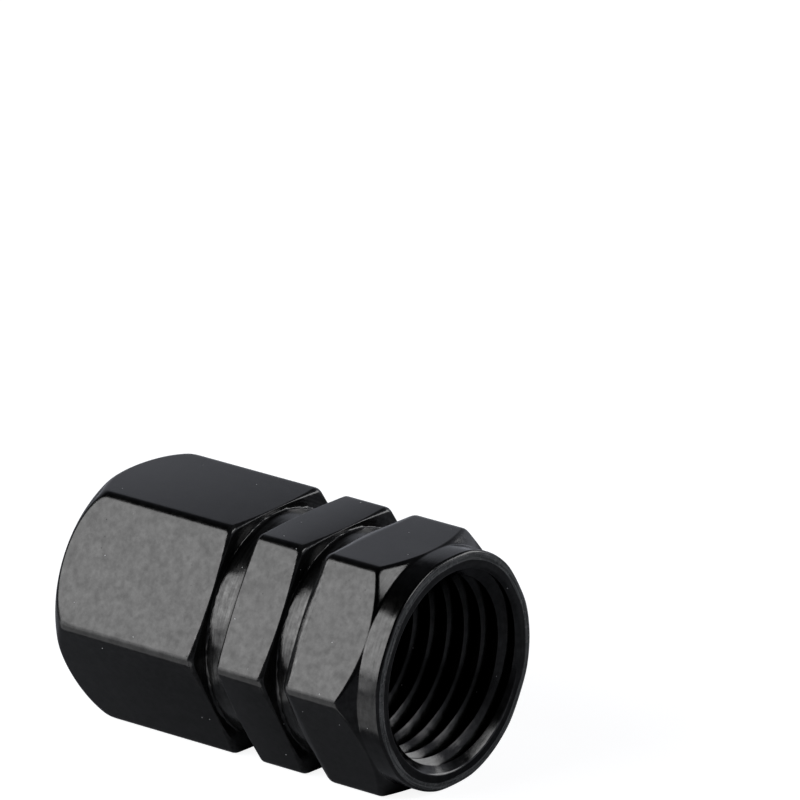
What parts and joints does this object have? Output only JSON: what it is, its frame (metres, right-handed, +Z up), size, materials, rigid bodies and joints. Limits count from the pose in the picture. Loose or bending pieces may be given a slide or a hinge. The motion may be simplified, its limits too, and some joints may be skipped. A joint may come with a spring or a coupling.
{
  "type": "tyre valve cap",
  "caption": "Black hexagonal metal dust cap for a tyre valve, grooved for grip, with an internal thread and a rubber seal ring at its closed end.",
  "frame": {"origin": "on the flat that the cap lies on, under the middle of its length", "axes": "+X along the cap's axis towards its open mouth, +Z up, square to the flat that it lies on"},
  "size_m": [0.0158, 0.0102, 0.009],
  "materials": {
    "anodised_aluminium": "turned and lightly tumbled, black anodised, satin",
    "seal_rubber": "moulded, matt black"
  },
  "bodies": {
    "root": {"cap_body": "anodised_aluminium", "seal_ring": "seal_rubber"}
  },
  "joints": []
}
